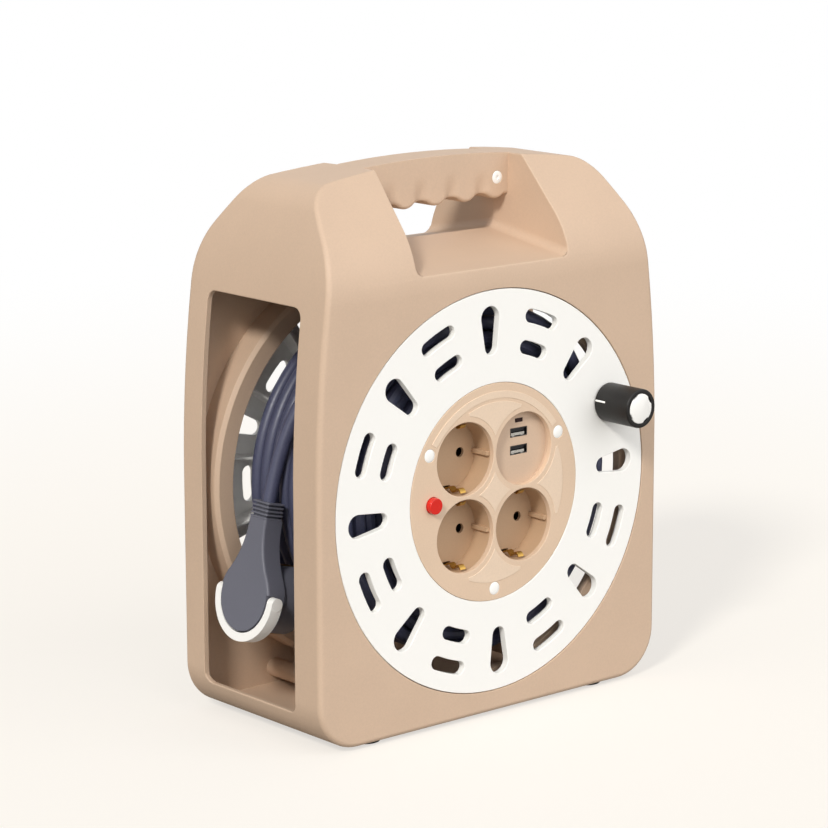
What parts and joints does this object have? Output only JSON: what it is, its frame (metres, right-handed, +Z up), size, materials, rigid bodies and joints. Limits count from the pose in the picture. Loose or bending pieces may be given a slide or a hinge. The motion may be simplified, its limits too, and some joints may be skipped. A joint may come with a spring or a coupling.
{
  "type": "extension cord reel",
  "caption": "Portable cable reel: flat rounded housing with hand hole, turning drum wound with cable, socket plate with USB insert, crank knob and a mains plug parked in the side window",
  "frame": {"origin": "centre of the part's box on the plane that its feet stand on, cable and plug left out", "axes": "+Z up, -Y towards the side with the sockets, +X to the right seen from that side; the reel turns about Y"},
  "size_m": [0.2431, 0.1412, 0.298],
  "materials": {
    "housing_plastic": "sand coloured moulded plastic, satin",
    "white_plastic": "white moulded plastic, semi-gloss",
    "plate_plastic": "light sand plastic, satin",
    "grey_plastic": "grey insulating plastic",
    "black_plastic": "black plastic, satin",
    "red_plastic": "red plastic, glossy",
    "zinc_steel": "zinc plated",
    "port_steel": "pressed steel",
    "pin_nickel": "nickel plated",
    "contact_brass": "bare brass strip",
    "indicator_clear": "dark smoked light guide",
    "circuit_board": "green board",
    "foot_rubber": "black rubber",
    "cable_sheath": "dark slate blue PVC, satin",
    "plug_plastic": "slate grey moulded PVC, satin"
  },
  "bodies": {
    "housing": {"front_shell": "housing_plastic", "rear_shell": "housing_plastic", "housing_screws": "zinc_steel", "grip_screws": "zinc_steel", "grip_screw_caps": "white_plastic", "rubber_feet": "foot_rubber", "cable_outer_layer": "cable_sheath", "cable_tail": "cable_sheath", "plug_strain_relief": "plug_plastic", "plug_body": "plug_plastic", "plug_pins": "pin_nickel", "plug_earth_strips": "contact_brass"},
    "reel": {"front_flange": "white_plastic", "rear_flange": "white_plastic", "tie_tubes": "white_plastic", "drum_sleeve": "white_plastic", "drum_screws": "zinc_steel", "socket_plate": "plate_plastic", "socket_wells": "plate_plastic", "plate_screws": "zinc_steel", "plate_screw_caps": "white_plastic", "contact_blocks": "grey_plastic", "pin_contacts": "contact_brass", "earth_straps": "contact_brass", "bus_bars": "contact_brass", "usb_ports": "port_steel", "usb_tongues": "black_plastic", "indicator_window": "indicator_clear", "usb_board": "circuit_board", "usb_cover": "grey_plastic", "thermal_cutout": "black_plastic", "terminal_block": "grey_plastic", "inner_lead": "cable_sheath", "knob_spindle": "zinc_steel", "knob_nut": "zinc_steel", "cable_core": "cable_sheath"},
    "knob": {"knob_grip": "black_plastic", "knob_cap": "white_plastic"},
    "button": {"reset_button": "red_plastic"},
    "ring": {"pull_ring": "white_plastic"}
  },
  "joints": [
    {"name": "reel_turn", "type": "hinge", "parent": "housing", "child": "reel", "pos_m": [0, 0.0126, 0.1233], "axis": [0, 1, 0], "continuous": true},
    {"name": "knob_turn", "type": "hinge", "parent": "reel", "child": "knob", "pos_m": [0.08274, -0.0571, 0.16118], "axis": [0, 1, 0], "continuous": true},
    {"name": "reset_press", "type": "slide", "parent": "reel", "child": "button", "axis": [0, 1, 0], "range_m": [0, 0.0016], "stiffness_N_per_m": 400, "springref_m": -0.002},
    {"name": "pull_ring_fold", "type": "hinge", "parent": "housing", "child": "ring", "pos_m": [-0.11352, 0.0221, 0.07261], "axis": [0, 1, 0], "range_deg": [0, 90]}
  ]
}
